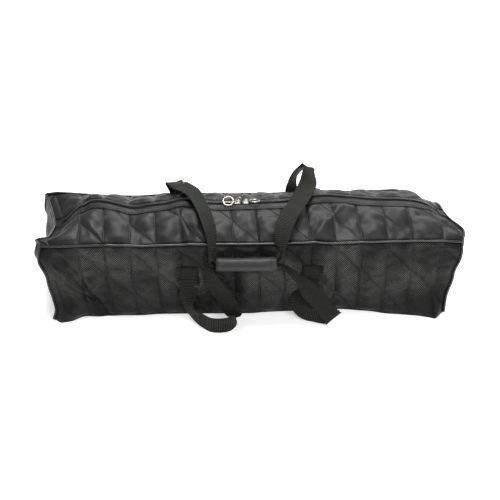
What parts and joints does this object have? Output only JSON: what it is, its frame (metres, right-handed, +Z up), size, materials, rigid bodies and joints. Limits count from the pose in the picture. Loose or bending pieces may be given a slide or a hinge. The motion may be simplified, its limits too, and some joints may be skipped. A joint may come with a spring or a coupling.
{
  "type": "telescope carry case",
  "caption": "Long soft padded carry case with a zip along its top, pull rings, piping and two webbing handles joined by a wrapped grip.",
  "frame": {"origin": "middle of the bottom face, on the floor", "axes": "+X along the case to the right, +Y to the rear, +Z up; the wrapped grip hangs over the front, which faces -Y"},
  "size_m": [0.869, 0.302, 0.2639],
  "materials": {
    "case_nylon": "matte",
    "case_nylon_plain": "matte",
    "lining_nylon": "matte",
    "padding_foam": "matte",
    "piping_vinyl": "gloss",
    "zip_metal": "polished",
    "zip_coil_nylon": "satin",
    "zip_tape_woven": "matte",
    "handle_webbing": "matte",
    "grip_leatherette": "satin",
    "hook_and_loop": "matte"
  },
  "bodies": {
    "case": {"bottom_lining": "lining_nylon", "bottom_padding": "padding_foam", "bottom_panel": "case_nylon", "front_anchor_left": "handle_webbing", "front_anchor_right": "handle_webbing", "front_lining": "lining_nylon", "front_padding": "padding_foam", "front_panel": "case_nylon", "left_end_lining": "lining_nylon", "left_end_padding": "padding_foam", "left_end_panel": "case_nylon", "piping_front_top": "piping_vinyl", "piping_left_end": "piping_vinyl", "piping_rear_top": "piping_vinyl", "piping_right_end": "piping_vinyl", "rear_anchor_left": "handle_webbing", "rear_anchor_right": "handle_webbing", "rear_lining": "lining_nylon", "rear_padding": "padding_foam", "rear_panel": "case_nylon", "right_end_lining": "lining_nylon", "right_end_padding": "padding_foam", "right_end_panel": "case_nylon", "zip_end_tab_left": "case_nylon_plain", "zip_end_tab_right": "case_nylon_plain"},
    "front_flap": {"top_front_lining": "lining_nylon", "top_front_padding": "padding_foam", "top_front_panel": "case_nylon", "zip_coil_front": "zip_coil_nylon", "zip_tape_front": "zip_tape_woven", "zip_welt_front": "case_nylon_plain"},
    "rear_flap": {"top_rear_lining": "lining_nylon", "top_rear_padding": "padding_foam", "top_rear_panel": "case_nylon", "zip_coil_rear": "zip_coil_nylon", "zip_tape_rear": "zip_tape_woven", "zip_welt_rear": "case_nylon_plain"},
    "zip_slider_left": {"slider_left": "zip_metal"},
    "pull_link_left": {"pull_link_left": "zip_metal"},
    "pull_ring_left": {"pull_ring_left": "zip_metal"},
    "zip_slider_right": {"slider_right": "zip_metal"},
    "pull_link_right": {"pull_link_right": "zip_metal"},
    "pull_ring_right": {"pull_ring_right": "zip_metal"},
    "handle_grip": {"front_handle_webbing": "handle_webbing", "rear_handle_webbing": "handle_webbing", "grip_wrap": "grip_leatherette", "grip_padding": "padding_foam", "grip_loop_patch": "hook_and_loop"},
    "grip_cover": {"grip_flap": "grip_leatherette", "grip_hook_patch": "hook_and_loop"}
  },
  "joints": [
    {"name": "front_flap_fold", "type": "hinge", "parent": "case", "child": "front_flap", "pos_m": [0, -0.09175, 0.1721], "axis": [-1, 0, 0], "range_deg": [0, 95]},
    {"name": "rear_flap_fold", "type": "hinge", "parent": "case", "child": "rear_flap", "pos_m": [0, 0.09175, 0.1721], "axis": [1, 0, 0], "range_deg": [0, 95]},
    {"name": "zip_left_slide", "type": "slide", "parent": "case", "child": "zip_slider_left", "axis": [-1, 0, 0], "range_m": [0, 0.325]},
    {"name": "pull_link_left_hinge", "type": "hinge", "parent": "zip_slider_left", "child": "pull_link_left", "pos_m": [-0.025, 0, 0.2184], "axis": [0, 1, 0], "range_deg": [0, 45]},
    {"name": "pull_ring_left_hinge", "type": "hinge", "parent": "pull_link_left", "child": "pull_ring_left", "pos_m": [-0.033, 0, 0.2184], "axis": [0, 0.8988, 0.4384], "range_deg": [0, 55]},
    {"name": "zip_right_slide", "type": "slide", "parent": "case", "child": "zip_slider_right", "axis": [1, 0, 0], "range_m": [0, 0.36]},
    {"name": "pull_link_right_hinge", "type": "hinge", "parent": "zip_slider_right", "child": "pull_link_right", "pos_m": [-0.007, 0, 0.2184], "axis": [0, -1, 0], "range_deg": [0, 45]},
    {"name": "pull_ring_right_hinge", "type": "hinge", "parent": "pull_link_right", "child": "pull_ring_right", "pos_m": [0.001, 0, 0.2184], "axis": [0, -0.9511, 0.309], "range_deg": [0, 55]},
    {"name": "handle_lift", "type": "slide", "parent": "case", "child": "handle_grip", "axis": [0, 0, 1], "range_m": [0, 0.1], "deforming": ["front_handle_webbing", "rear_handle_webbing"]},
    {"name": "grip_cover_open", "type": "hinge", "parent": "handle_grip", "child": "grip_cover", "pos_m": [-0.008, -0.12652, 0.15842], "axis": [-1, 0, 0], "range_deg": [0, 100]}
  ]
}
